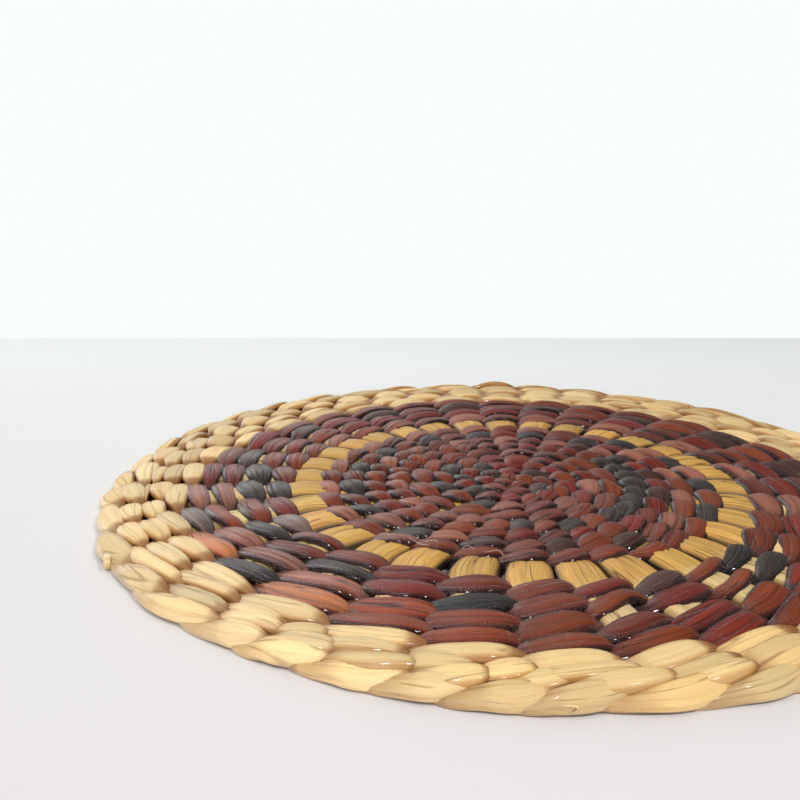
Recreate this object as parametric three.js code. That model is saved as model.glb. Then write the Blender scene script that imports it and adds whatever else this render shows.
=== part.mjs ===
// A round placemat twined from water hyacinth reed. It is a flat, one-sided relief: level underneath,
// with the ridges of its woven rows on top. The dyed field and the natural border that the maker
// works around it are a solid each. Millimetres, +Z up, the origin under the middle on the table.
import * as THREE from "three";

// Driving dimensions
const MAT_RADIUS = 175;
const CREST_HEIGHT = 9.4; // a weft over a spoke over a weft
const FURROW_HEIGHT = 6.4; // where two rows meet
const SPOKES = 32;
const FIRST_SPOKE = THREE.MathUtils.degToRad(-104.3); // its angle from +X
const ROW_UNEVENNESS = 0.45;
const OUTLINE_UNEVENNESS = 0.6;
const SCALLOP_DEPTH = 0.9; // how far the rim draws in between two spokes
const PIECE_GAP = 0.4; // at the corners of the two polygons, and 0.3 at their sides

// The weaving grew a little faster on one side, so the field lies off the mat's middle
// and the border is narrowest at the front.
const FIELD_MIDDLE = { x: 1.5, y: -14.3 };

// The bands of rows from the field's middle out. Their widths add up to the field's radius.
// dip is how far a ridge sinks between two spokes.
const FIELD_BANDS = [
  { name: "hub", rows: 1, rowWidth: 7.6, crest: 8.6, dip: 0 },
  { name: "inner rows", rows: 8, rowWidth: 9.5, crest: CREST_HEIGHT, dip: 0.9 },
  { name: "bare spokes", rows: 1, rowWidth: 15.4, crest: 7.6, dip: 3.4 },
  { name: "narrow row", rows: 1, rowWidth: 9.5, crest: CREST_HEIGHT, dip: 1.4 },
  { name: "broad rows", rows: 2, rowWidth: 10.8, crest: CREST_HEIGHT, dip: 1.4 },
  { name: "edge row", rows: 1, rowWidth: 8.7, crest: CREST_HEIGHT, dip: 1.4 },
];
const BORDER_ROWS = 4;
const BORDER_DIP = 1.4;

// A row's three loops of points: where each lies, as a share of the row's width
const FURROW = { share: 0, crested: false };
const SHOULDERS = [
  { share: 0.28, crested: true },
  { share: 0.72, crested: true },
];

// The last row rolls over the rim and tucks in under it, in loops that are set in from the rim.
const RIM_ROLL = [
  { inset: 1.6, height: 7.4 },
  { inset: 0, height: 4.6 },
  { inset: 0.8, height: 1.8 },
  { inset: 3.2, height: 0 },
];

const FIELD_STEPS = 2 * SPOKES;
const BORDER_STEPS = 3 * SPOKES;
const fieldRadius = FIELD_BANDS.reduce((sum, band) => sum + band.rows * band.rowWidth, 0);
const borderInnerRadius = fieldRadius + PIECE_GAP;

// 0 on a spoke and 1 midway between two, or the other way round in a row that is shifted by half
function betweenSpokes(angle, shift) {
  return (1 - Math.cos(SPOKES * (angle - FIRST_SPOKE) + 2 * Math.PI * shift)) / 2;
}

// The hand's unevenness along a row, from -1 to 1. Each row has waves of its own.
function handWave(angle, row) {
  const slow = Math.sin(3 * angle + 1.7 * row);
  const quick = Math.sin(7 * angle + 2.9 * row);
  return 0.6 * slow + 0.4 * quick;
}

// The outline's reach at an angle. Its waves are even, so the mat stays centred on the axis.
function rimRadius(angle) {
  const waves = 0.6 * Math.cos(2 * (angle - 0.5)) + 0.4 * Math.cos(6 * angle + 1.1);
  return MAT_RADIUS - OUTLINE_UNEVENNESS * (1 - waves) - SCALLOP_DEPTH * betweenSpokes(angle, 0);
}

// A point of the field, around its own middle
function fieldPoint(radius, angle, height) {
  const x = FIELD_MIDDLE.x + radius * Math.cos(angle);
  const y = FIELD_MIDDLE.y + radius * Math.sin(angle);
  return [x, y, height];
}

// A point of the border, at a share of the way from its inner edge to the rim
function borderPoint(share, angle, height, inset = 0) {
  const [innerX, innerY] = fieldPoint(borderInnerRadius, angle, height);
  const reach = rimRadius(angle) - inset;
  const x = innerX + share * (reach * Math.cos(angle) - innerX);
  const y = innerY + share * (reach * Math.sin(angle) - innerY);
  return [x, y, height];
}

// The heights of one row's top, for each of its three loops: its furrow and its ridge's shoulders
function rowHeights({ crest, dip, row, shift = 0 }) {
  return [FURROW, ...SHOULDERS].map(({ share, crested }) => {
    const height = (angle) => {
      if (!crested) return Math.min(crest, FURROW_HEIGHT) - ROW_UNEVENNESS;
      return crest - dip * betweenSpokes(angle, shift) - ROW_UNEVENNESS * (1 - handWave(angle, row));
    };
    return { share, height };
  });
}

// A closed solid from loops around the Z axis, each a function from an angle to a point. A band of
// triangles joins each loop to the next. The first and last loops close at the given end points, or
// meet each other when none are given.
function solidFromLoops(loops, steps, ends) {
  const positions = [];
  const indices = [];
  for (const loop of loops) {
    for (let step = 0; step < steps; step += 1) {
      positions.push(...loop((2 * Math.PI * step) / steps));
    }
  }
  const joins = ends ? loops.length - 1 : loops.length;
  for (let ring = 0; ring < joins; ring += 1) {
    const here = ring * steps;
    const next = ((ring + 1) % loops.length) * steps;
    for (let step = 0; step < steps; step += 1) {
      const after = (step + 1) % steps;
      indices.push(here + step, next + step, next + after);
      indices.push(here + step, next + after, here + after);
    }
  }
  if (ends) {
    const first = positions.length / 3;
    const last = first + 1;
    const lastLoop = (loops.length - 1) * steps;
    positions.push(...ends.first, ...ends.last);
    for (let step = 0; step < steps; step += 1) {
      const after = (step + 1) % steps;
      indices.push(first, step, after);
      indices.push(lastLoop + step, last, lastLoop + after);
    }
  }
  const geometry = new THREE.BufferGeometry();
  geometry.setAttribute("position", new THREE.Float32BufferAttribute(positions, 3));
  geometry.setIndex(indices);
  geometry.computeVertexNormals();
  return geometry;
}

function fieldGeometry() {
  const loops = [];
  let inner = 0;
  let row = 0;
  for (const { rows, rowWidth, crest, dip } of FIELD_BANDS) {
    for (let count = 0; count < rows; count += 1) {
      for (const { share, height } of rowHeights({ crest, dip, row })) {
        const radius = inner + share * rowWidth;
        if (radius > 0) loops.push((angle) => fieldPoint(radius, angle, height(angle)));
      }
      inner += rowWidth;
      row += 1;
    }
  }
  loops.push((angle) => fieldPoint(fieldRadius, angle, FURROW_HEIGHT));
  loops.push((angle) => fieldPoint(fieldRadius, angle, 0));
  const ends = { first: fieldPoint(0, 0, FIELD_BANDS[0].crest), last: fieldPoint(0, 0, 0) };
  return solidFromLoops(loops, FIELD_STEPS, ends);
}

function borderGeometry() {
  const loops = [(angle) => borderPoint(0, angle, 0)];
  for (let row = 0; row < BORDER_ROWS; row += 1) {
    const shift = (row % 2) / 2; // the tops lie like bricks, each row half a spoke along
    const look = { crest: CREST_HEIGHT, dip: BORDER_DIP, row: row + 20, shift };
    for (const { share, height } of rowHeights(look)) {
      const way = (row + share) / BORDER_ROWS;
      loops.push((angle) => borderPoint(way, angle, height(angle)));
    }
  }
  for (const { inset, height } of RIM_ROLL) {
    loops.push((angle) => borderPoint(1, angle, height, inset));
  }
  return solidFromLoops(loops, BORDER_STEPS);
}

function makePiece(name, geometry, colour) {
  const material = new THREE.MeshStandardMaterial({ color: colour, roughness: 0.55, metalness: 0 });
  material.name = name;
  const piece = new THREE.Mesh(geometry, material);
  piece.name = name;
  return piece;
}

const placemat = new THREE.Group();
placemat.add(makePiece("woven_field", fieldGeometry(), 0x4a2a24));
placemat.add(makePiece("natural_border", borderGeometry(), 0xd8bd86));

export default placemat;
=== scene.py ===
# %% [markdown]
# A round placemat twined from water hyacinth reed. The real one starts from pale spokes that lie
# like those of a wheel. Pairs of soft, flattened reeds are twined round and round through them:
# one reed of a pair passes over a spoke while the other passes under it, and they swap in each gap.
# The rows of the field are dyed brown, oxblood and black, one open ring leaves the spokes bare, and
# the last rows are natural straw. Every reed here is modelled as a reed, so that the mat is made of
# the same pieces as the real one and looks right from every side.

# %% Load the frame
import math

import bpy
import numpy as np
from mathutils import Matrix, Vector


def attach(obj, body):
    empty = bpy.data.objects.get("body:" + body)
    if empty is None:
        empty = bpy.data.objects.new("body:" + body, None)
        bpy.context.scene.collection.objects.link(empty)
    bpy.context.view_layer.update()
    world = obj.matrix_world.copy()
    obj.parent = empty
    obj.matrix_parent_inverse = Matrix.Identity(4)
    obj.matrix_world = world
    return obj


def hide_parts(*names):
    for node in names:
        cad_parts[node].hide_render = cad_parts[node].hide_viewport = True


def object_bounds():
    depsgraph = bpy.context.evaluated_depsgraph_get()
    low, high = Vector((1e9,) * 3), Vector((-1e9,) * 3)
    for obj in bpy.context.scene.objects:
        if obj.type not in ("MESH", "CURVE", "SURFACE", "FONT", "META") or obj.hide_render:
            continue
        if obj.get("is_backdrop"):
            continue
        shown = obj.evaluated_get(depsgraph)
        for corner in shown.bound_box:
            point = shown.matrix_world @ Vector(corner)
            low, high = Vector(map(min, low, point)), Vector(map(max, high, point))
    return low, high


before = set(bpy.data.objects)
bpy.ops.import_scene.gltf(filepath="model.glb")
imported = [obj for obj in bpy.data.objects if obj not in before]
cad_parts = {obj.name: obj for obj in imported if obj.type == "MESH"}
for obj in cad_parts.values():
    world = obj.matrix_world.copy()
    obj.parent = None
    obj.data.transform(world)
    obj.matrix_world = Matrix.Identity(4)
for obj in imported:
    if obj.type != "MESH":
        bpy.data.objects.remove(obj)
cad_low, cad_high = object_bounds()
MM = 0.001
MAT_RADIUS = (cad_high[0] - cad_low[0]) / 2
CREST = cad_high[2]
print("The frame's nodes:", sorted(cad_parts), "mat radius", round(MAT_RADIUS / MM, 1), "mm")

# %% [markdown]
# The camera stands low in front of the mat and looks a little down, as a guest at the table does.
# Its lens is a moderate wide angle, with a focal length a little over the width of its sensor.

# %% Camera
SENSOR_MM = 36
FOCAL_TO_WIDTH = 1.0625
CAMERA_PLACE = (-0.04787, -0.36324, 0.13305)
CAMERA_DOWN = math.radians(14.353)

camera_data = bpy.data.cameras.new("table_view")
camera_data.sensor_width = SENSOR_MM
camera_data.lens = SENSOR_MM * FOCAL_TO_WIDTH
camera = bpy.data.objects.new("table_view", camera_data)
camera.location = CAMERA_PLACE
camera.rotation_euler = (math.pi / 2 - CAMERA_DOWN, 0, 0)
bpy.context.scene.collection.objects.link(camera)
bpy.context.scene.camera = camera
bpy.context.scene.view_settings.view_transform = "Standard"
print("Camera at", CAMERA_PLACE, "lens", round(camera_data.lens, 1), "mm")

# %% [markdown]
# Two small helpers. A maker lays each reed by hand, so nothing is quite even: one helper gives a
# seeded source of chance to each piece, so that the mat comes out the same each time. The other
# smooths a row of values, one for each crossing of a reed, into a wave that runs along the reed.


# %% Helpers for the hand's unevenness
def chance_for(*names):
    """A seeded source of random numbers for one piece of the mat."""
    seed = sum(ord(letter) * (place + 1) for place, letter in enumerate(" ".join(map(str, names))))
    return np.random.default_rng(seed)


def along(values, position):
    """Values that are given at whole crossings, eased from one to the next. They run in a ring."""
    values = np.asarray(values, float)
    start = np.floor(position).astype(int)
    ease = position - start
    ease = ease * ease * (3 - 2 * ease)
    here, after = values[start % len(values)], values[(start + 1) % len(values)]
    if values.ndim > 1:
        ease = ease[:, None]
    return here + (after - here) * ease


def eased_step(low, high, value):
    """0 below the low value, 1 above the high one, and eased between them."""
    share = np.clip((value - low) / (high - low), 0, 1)
    return share * share * (3 - 2 * share)


print("A wave along four crossings:", along([0, 1, 0, 1], np.array([0.5, 1.25])))

# %% [markdown]
# The plan of the mat. The weaving grew faster on one side, so the field's middle lies in front of
# the mat's middle, and the border is narrow at the front and broad at the back. All places in the
# field are therefore given round the field's own middle: a distance from it, and an angle that
# starts at the front and turns to the right. The rim is a circle round the mat's middle, drawn in a
# little along the front and once more in a short stretch at the front left.

# %% The plan
FIELD_MIDDLE = (1.5 * MM, -14.3 * MM)
SPOKES = 32
FIRST_SPOKE = math.radians(-14.3)
DRAWN_IN_PLACES = [
    # how far the rim is drawn in (mm), the angle of the deepest place (degrees), how short the stretch is
    (3.0, 0, 2),
    (2.2, -31, 24),
]


def place_at(radius, angle):
    """Plan coordinates of a point at a distance and an angle from the field's middle."""
    return FIELD_MIDDLE[0] + radius * np.sin(angle), FIELD_MIDDLE[1] - radius * np.cos(angle)


def rim_radius(angle):
    """How far the mat's rim is from the field's middle."""
    inward = FIELD_MIDDLE[0] * np.sin(angle) - FIELD_MIDDLE[1] * np.cos(angle)
    square = FIELD_MIDDLE[0] ** 2 + FIELD_MIDDLE[1] ** 2
    radius = -inward + np.sqrt(inward**2 + MAT_RADIUS**2 - square)
    for depth, middle, shortness in DRAWN_IN_PLACES:
        radius = radius - depth * MM * np.cos(angle - math.radians(middle)).clip(0) ** shortness
    return radius


print("From the field's middle to the rim at the front:", round(rim_radius(0) / MM, 1), "mm")
print("And at the back:", round(rim_radius(math.pi) / MM, 1), "mm")

# %% [markdown]
# Reed blanks. A reed that runs round the mat is a closed ring, so its blank is a torus with enough
# segments for every crossing. Blender starts a torus with 256 segments at most, so a longer ring has
# each of its segments cut in two. A spoke, or a reed with two ends, starts as a cylinder whose long
# edges are cut up in the same way; Blender makes 100 cuts at a time, so a long one takes two rounds.
# No operator can weave, so the points of a blank are laid onto their route by a formula, and each
# reed is a copy of its blank with its own mesh.

# %% Reed blanks
STRANDS = 28  # corners of a reed's section
MOST_SEGMENTS = 256
OUTER_STEPS, INNER_STEPS, BORDER_STEPS = 14, 9, 12  # segments between two crossings
LEAST_LENGTH = 0.001  # of an edge that runs along a blank, and not round it
ring_blanks = {}


def along_ring(start, end):
    """True for an edge that runs along a torus."""
    return abs(start.x * end.y - start.y * end.x) > LEAST_LENGTH


def along_cylinder(start, end):
    """True for an edge that runs along a cylinder."""
    return abs(start.z - end.z) > LEAST_LENGTH


def cut_edges(blank, is_long, cuts):
    """Cuts up the edges of a blank that a test of an edge's two ends picks out."""
    bpy.ops.object.mode_set(mode="EDIT")
    bpy.ops.mesh.select_mode(type="EDGE")
    bpy.ops.mesh.select_all(action="DESELECT")
    bpy.ops.object.mode_set(mode="OBJECT")
    for edge in blank.data.edges:
        edge.select = is_long(*(blank.data.vertices[end].co for end in edge.vertices))
    bpy.ops.object.mode_set(mode="EDIT")
    bpy.ops.mesh.subdivide(number_cuts=cuts)
    bpy.ops.object.mode_set(mode="OBJECT")


def ring_blank(crossings, steps, sides):
    """A torus of radius 1, made once for each number of crossings."""
    key = (crossings, steps, sides)
    if key not in ring_blanks:
        bpy.ops.object.select_all(action="DESELECT")
        parts = 1 if crossings * steps <= MOST_SEGMENTS else 2
        segments = crossings * steps // parts
        bpy.ops.mesh.primitive_torus_add(
            major_segments=segments, minor_segments=sides, major_radius=1, minor_radius=0.25
        )
        ring_blanks[key] = bpy.context.object
        if parts == 2:
            cut_edges(ring_blanks[key], along_ring, 1)
    return ring_blanks[key]


def straight_blank(name, sides, rounds_of_cuts):
    """A cylinder of radius 1 from z = 0 to 1, with its long edges cut up in one or more rounds."""
    bpy.ops.object.select_all(action="DESELECT")
    bpy.ops.mesh.primitive_cylinder_add(vertices=sides, radius=1, depth=1, location=(0, 0, 0.5))
    blank = bpy.context.object
    blank.name = name
    bpy.ops.object.transform_apply(location=True, rotation=True, scale=True)
    for cuts in rounds_of_cuts:
        cut_edges(blank, along_cylinder, cuts)
    return blank


blank = ring_blank(SPOKES, OUTER_STEPS, STRANDS)
print("A ring blank has", len(blank.data.vertices), "points")

# %% [markdown]
# Every reed is a copy of a blank. Where a point lies on its blank says where it lies on the reed: how
# far along it, counted in crossings, and at which angle round its section.


# %% Places on a blank
def copy_of(blank, name):
    """A copy of a blank with a mesh of its own, linked to the scene."""
    piece = blank.copy()
    piece.data = blank.data.copy()
    piece.name = piece.data.name = name
    bpy.context.scene.collection.objects.link(piece)
    return piece


def points_of(piece):
    """The points of a mesh as an array."""
    points = np.empty(len(piece.data.vertices) * 3, np.float32)
    piece.data.vertices.foreach_get("co", points)
    return points.reshape(-1, 3).astype(float)


def ring_places(piece, crossings):
    """Where the points of a ring are: how many crossings along it, and the angle round the reed."""
    x, y, z = points_of(piece).T
    position = np.arctan2(y, x) / (2 * np.pi) * crossings % crossings
    return position, np.arctan2(z, np.hypot(x, y) - 1)


def straight_places(piece, crossings):
    """The same for the points of a cylinder."""
    x, y, z = points_of(piece).T
    return z * crossings, np.arctan2(y, -x)


position = ring_places(blank, SPOKES)[0]
print("A ring blank runs over", round(float(np.ptp(position)), 2), "of", SPOKES, "crossings")

# %% [markdown]
# The shape of a reed along its way. Over two crossings it goes once over a spoke and once under. It
# comes up steeply, broad and blunt, lies wide over the spoke, and narrows into folds where it is
# pulled down under the next top. As the two reeds of a pair twist round each other, it comes up on
# the row's outer side and goes down on the inner side. The table is smoothed into an even curve.

# %% Reed shape
REED_WAY = np.array(
    [
        # crossing, width, thickness, height, outward, folds
        (-1.00, 0.84, 1.00, -1.00, 0.0, 0.4),
        (-0.80, 0.80, 1.00, -0.80, 0.5, 0.6),
        (-0.66, 0.70, 1.00, -0.26, 0.9, 0.9),
        (-0.54, 0.82, 1.00, 0.30, 1.0, 0.9),
        (-0.40, 0.99, 1.00, 0.66, 0.9, 0.5),
        (-0.20, 1.08, 1.02, 0.90, 0.5, 0.2),
        (0.00, 1.07, 1.02, 1.02, 0.0, 0.1),
        (0.20, 0.97, 1.00, 0.96, -0.5, 0.3),
        (0.36, 0.76, 0.96, 0.56, -0.9, 0.7),
        (0.50, 0.46, 0.90, -0.20, -1.0, 1.0),
        (0.64, 0.50, 0.94, -0.76, -0.9, 0.9),
        (0.80, 0.74, 1.00, -0.96, -0.5, 0.6),
        (1.00, 0.84, 1.00, -1.00, 0.0, 0.4),
    ]
)
WAY_SAMPLES = 240
WAY_BLUR = 9  # samples to each side that are averaged
sample_cycles = np.arange(WAY_SAMPLES) / WAY_SAMPLES * 2 - 1
smooth_way = []
for column in REED_WAY[:, 1:].T:
    sampled = np.interp(sample_cycles, REED_WAY[:, 0], column)
    shifted = [np.roll(sampled, step) for step in range(-WAY_BLUR, WAY_BLUR + 1)]
    smooth_way.append(np.mean(shifted, axis=0))


def reed_way(cycle):
    """Width, thickness, height, outward place and folding of a reed, where cycle 0 is on top."""
    wrapped = (np.asarray(cycle) + 1) % 2 - 1
    return [np.interp(wrapped, sample_cycles, values, period=2) for values in smooth_way]


print("On top of a spoke:", [round(float(v), 2) for v in reed_way(0.0)])

# %% [markdown]
# The rows, from the middle out. Each has a radius, the widths of its reeds, and a number of
# crossings: the innermost rows take the spokes in fours and pairs, as a maker starts a mat.

# %% Rows of the field
FIELD_ROWS = [
    # name, radius (mm), reed width (mm), crossings
    ("hub_knot", 4.6, 8.4, 4),
    ("hub_row", 12.3, 9.0, 8),
    ("start_row_1", 21.4, 9.2, 16),
    ("start_row_2", 30.9, 9.6, 16),
    ("start_row_3", 40.6, 9.8, 16),
    ("inner_row_1", 50.2, 9.8, 32),
    ("inner_row_2", 59.8, 9.8, 32),
    ("inner_row_3", 69.3, 9.8, 32),
    ("inner_row_4", 78.7, 9.6, 32),
    ("outer_row_4", 101.2, 11.2, 32),
    ("outer_row_3", 112.4, 11.4, 32),
    ("outer_row_2", 124.2, 12.0, 32),
    ("outer_row_1", 134.3, 10.0, 32),
]
BARE_TO = 96.0 * MM  # where the rows outside the bare ring begin
print(len(FIELD_ROWS), "rows in the field, the last at", FIELD_ROWS[-1][1], "mm")

# %% [markdown]
# The dyes. A weaver takes reeds from bundles of several shades, and joins a new one on when the old one ends,
# so the shade changes every few crossings. The four rows outside the open ring are listed for fourteen
# spokes, from the left round to the front right; the rest are dealt out by chance.

# %% Dyes
DYES = {
    "plum": (0.207, 0.035, 0.011),
    "mauve": (0.400, 0.140, 0.085),
    "slate": (0.270, 0.165, 0.135),
    "charcoal": (0.048, 0.034, 0.029),
    "black": (0.014, 0.013, 0.010),
    "oxblood": (0.220, 0.021, 0.008),
    "brick": (0.335, 0.052, 0.009),
    "rust": (0.600, 0.195, 0.070),
    "redbrown": (0.262, 0.045, 0.009),
    "chocolate": (0.075, 0.022, 0.011),
}
COMMON_DYES = ["plum", "plum", "redbrown", "redbrown", "chocolate", "oxblood", "charcoal", "mauve"]
RUN_OF_ONE_DYE = (3, 7)  # from three to six tops
FIRST_LISTED = -7
# Where the list gives mauve, slate and rust at the left, their lighter colour is partly the reeds' own and
# partly painted sheen.
LISTED_DYES = {
    "outer_row_1": "oxblood mauve slate rust charcoal rust brick brick redbrown redbrown oxblood "
    "redbrown plum plum",
    "outer_row_2": "oxblood mauve brick mauve mauve mauve brick brick redbrown plum oxblood "
    "redbrown oxblood redbrown",
    "outer_row_3": "charcoal charcoal plum charcoal plum charcoal oxblood black plum redbrown "
    "oxblood redbrown charcoal plum",
    "outer_row_4": "plum charcoal oxblood slate plum plum oxblood plum plum oxblood chocolate "
    "redbrown black plum",
}


def dyes_for(name, crossings):
    """A dye for each crossing of a row, in runs, with two runs that alternate."""
    chance = chance_for("dyes", name)
    dyes = [None] * crossings
    for start in (0, 1):
        crossing = start
        while crossing < crossings:
            dye = DYES[chance.choice(COMMON_DYES)]
            for _ in range(chance.integers(*RUN_OF_ONE_DYE)):
                if crossing < crossings:
                    dyes[crossing] = dye
                crossing += 2
    if name in LISTED_DYES:
        for count, dye in enumerate(LISTED_DYES[name].split()):
            dyes[(FIRST_LISTED + count) % crossings] = DYES[dye]
    return np.array(dyes)


print("Dyes at the front of the second row:", LISTED_DYES["outer_row_2"].split()[5:9])

# %% [markdown]
# What every reed carries. Its map runs in centimetres, along the reed and then across it, so that the fibres
# follow the reed round its bends. Its dye is a colour attribute, which also holds painted shade at its edges
# and at the ends of its tops, and on the straw a painted sheen at the front left. Three more attributes say
# how deeply a place is folded, how far it is tucked away under the next reed, and how thick the lacquer lies
# on it; the finish darkens folded and tucked places as painted shade. A torus's own map runs along it first,
# and a cylinder's runs round it first.

# %% Finish a laid reed
GIRTH_CM = 2.4


def finish_reed(piece, corners, length_cm, start_cm, dye, marks, straight=False):
    """Gives a laid reed its points, its attributes, and its map in centimetres."""
    mesh = piece.data
    mesh.vertices.foreach_set("co", corners.astype(np.float32).ravel())
    blank_map = mesh.uv_layers[0]
    flat = np.empty(len(mesh.loops) * 2, np.float32)
    blank_map.uv.foreach_get("vector", flat)
    flat = flat.reshape(-1, 2)
    if straight:
        flat = flat[:, ::-1] * (2, 1)
    flat = flat * (length_cm, GIRTH_CM) + start_cm
    mesh.uv_layers.remove(blank_map)
    reed_map = mesh.uv_layers.new(name="reed")
    reed_map.uv.foreach_set("vector", flat.astype(np.float32).ravel())
    colours = np.column_stack([dye, np.ones(len(dye))])
    dyed = mesh.attributes.new("dye", "FLOAT_COLOR", "POINT")
    dyed.data.foreach_set("color", colours.astype(np.float32).ravel())
    for name, values in marks.items():
        mesh.attributes.new(name, "FLOAT", "POINT").data.foreach_set("value", values.astype(np.float32))
    mesh.shade_smooth()


print("A reed's map is", GIRTH_CM, "cm round")

# %% [markdown]
# The cross-section is a flattened round with a flat face above and below and rolled edges. These
# helpers give its outline, the lengthwise creases of a spoke, and the angle at any place along a row.


# %% Sections and angles
def rounded(side, edge, face):
    """A flattened round: places across and up at an angle, -1 to 1, with rolled edges."""
    across = np.sign(np.cos(side)) * np.abs(np.cos(side)) ** edge
    return across, np.sign(np.sin(side)) * np.abs(np.sin(side)) ** face


def crease_depth(across, position, centres, depths, sharp):
    """How deep the lengthwise creases are at a place across the reed."""
    depth = np.zeros_like(across)
    for crease in range(centres.shape[1]):
        middle = along(centres[:, crease], position)
        depth += along(depths[:, crease], position) * np.exp(-(((across - middle) / sharp) ** 2))
    return depth


def along_angles(angles, position):
    """The angle at a place along a row, from the angles of its crossings, once round."""
    crossings = len(angles)
    closed = np.append(angles, angles[0] + 2 * np.pi)
    turns = np.floor(position / crossings)
    return np.interp(position - turns * crossings, np.arange(crossings + 1), closed) + turns * 2 * np.pi


print("A section's corner lies at", [round(float(v), 2) for v in rounded(math.pi / 4, 0.88, 0.72)])

# %% [markdown]
# The line that a twined reed follows. It rises over its spokes and dives under the others, sways to
# the row's two sides as the pair twists, and is a little wider here and narrower there, as a hand
# leaves it. A straw reed is drawn to a point at both ends of each top, as a leaf is, and the last
# row curls over: it is laid lower, wider and tilted outwards.

# %% The way of a twined reed
REED_THICKNESS = 4.1 * MM
TWIST_SHARE = 0.23  # of the width, to each side
HALF_LIFT = (CREST - REED_THICKNESS) / 2
MIDDLE_HEIGHT = CREST / 2
RISE_EASE, FALL_EASE = (-0.1, 0.5), (1.0, 0.8)  # where the curl eases off past the middle of a top
LEAF_TIPS = [
    # place from the middle of the top (crossings), strength, spread
    (-0.5, 0.3, 0.03),
    (0.45, 1.0, 0.06),
]
FULL_CURL = 10 / 3  # the curl (mm) from which a row counts as the rim
CURL_FLATTENS, CURL_WIDENS, CURL_TILTS = 0.040, 0.060, 0.042  # shares, and radians, for each mm of curl
CURL_EASED = 0.75  # share of the curl that is taken back past the middle of a top
CURL_OUT, CURL_IN, CURL_DOWN = 0.4, 0.15, 0.2  # how far a top moves out, and its row in and down, for each mm


def hand_waves(chance, row):
    """How the hand varies a reed, with a value of each kind for each crossing."""
    crossings = row["crossings"]
    width = chance.normal(1, 0.06, crossings).clip(0.88, 1.12) * row.get("widths", np.ones(crossings))
    return {
        "width": width,
        "sway": chance.normal(0, 0.4 * MM, crossings) + row.get("sway", np.zeros(crossings)),
        "lift": chance.normal(-0.1 * MM, 0.35 * MM, crossings).clip(-0.8 * MM, 0.1 * MM),
        "roll": chance.normal(0, math.radians(7), crossings),
        "twist": chance.normal(1, 0.25, crossings),
        "slip": chance.normal(0, 0.06, crossings),
    }


def reed_line(at, row, parity, waves):
    """The reed's middle line, its width and thickness, how far over the spoke it is, folds and curl."""
    curl_mm = row.get("curl", 0)
    cycle = at - parity - along(waves["slip"], at)
    from_top = (cycle + 1) % 2 - 1
    radius, width = row["line"](row["angle"](at))
    share, thick, height, outward, folding = reed_way(cycle)
    over = height / 2 + 0.5
    pointed = sum(strong * np.exp(-((from_top - place) ** 2) / spread) for place, strong, spread in LEAF_TIPS)
    share = share * (1 - row["leaf"] * pointed) * (1 + row["fill"] * (1 - over))
    radius = radius + along(waves["sway"], at) + TWIST_SHARE * width * along(waves["twist"], at) * outward
    uncurled = CURL_EASED * eased_step(*RISE_EASE, from_top) * eased_step(*FALL_EASE, from_top)
    rolled = curl_mm * MM * over * (1 - uncurled)
    radius = radius + CURL_OUT * rolled - CURL_IN * curl_mm * MM
    width = width * share * along(waves["width"], at) * (1 + CURL_WIDENS * curl_mm * (over - 0.5))
    height = HALF_LIFT * height * (1 - CURL_FLATTENS * curl_mm) + along(waves["lift"], at)
    height = MIDDLE_HEIGHT - CURL_DOWN * curl_mm * MM + height
    middle = np.column_stack([*place_at(radius, row["angle"](at)), height])
    return middle, width, thick * REED_THICKNESS, over, folding, rolled


print("A reed rises and falls by", round(HALF_LIFT / MM, 2), "mm from the middle height")

# %% [markdown]
# Laying a reed. Its section is set square to its line and rolled a little. Each strand of the section is
# pressed in by an amount of its own at each top, most near the edges, which leaves lengthwise folds that
# deepen where the reed narrows. The colour is darkened towards a reed's edges as painted shade, and a straw
# reed is painted browner at the ends of its tops, as shade where they go under.

# %% Section and dye of a twined reed
# The bands below say where a reed's colour is darkened as painted shade, towards its edges and at the ends of
# its tops, and where its lacquer lies. The rim row gets less of that painted shade.
NEAR_EDGE, UNDER_EDGE = (0.45, 0.80), (0.66, 0.92)  # where these begin and where they are in full
RIGHT_END, LEFT_END = (0.22, 0.38), (-0.36, -0.52)  # of a top, in crossings from its middle
LEFT_END_SHARE = 0.5  # how brown the left end is beside the right one
FOLD_AT_TOP, FOLD_GAIN = 0.4, 0.7  # how deep a fold is on a top, and how much deeper where the reed narrows
EDGES_FOLD_MORE = 0.6
SIDE_THINNER = 0.10  # how much thinner a reed is at its sides, as a share
RIM_PALER, RIM_SHARPER = 0.6, 0.5  # shares by which the rim row is darkened less, and edged sharper below


def fold_pressing(chance, row, nearest, side, folding):
    """How deeply each point is pressed in by a fold. Each strand has its own amount at each top."""
    strand = np.round(side / (2 * math.pi) * STRANDS).astype(int) % STRANDS
    on_edge = np.abs(np.cos(np.arange(STRANDS) / STRANDS * 2 * math.pi))
    rarity = row["fold_rarity"] * (1 - EDGES_FOLD_MORE * on_edge)
    folds = chance.uniform(0, 1, (row["crossings"], STRANDS)) ** (1 + rarity)
    return folds[nearest, strand] * (FOLD_AT_TOP + FOLD_GAIN * folding)


def pressed_section(row, side, fold, at_rim):
    """Places across and up in a reed's section, with its folds pressed in."""
    edge_power, face_power = row["section"]
    sharper_below = RIM_SHARPER * at_rim * (np.sin(side) < 0)
    across, upward = rounded(side, edge_power * (1 - sharper_below), face_power)
    return across, upward * (1 - row["fold_depth"] * fold) * (1 - SIDE_THINNER * across**2)


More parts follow.
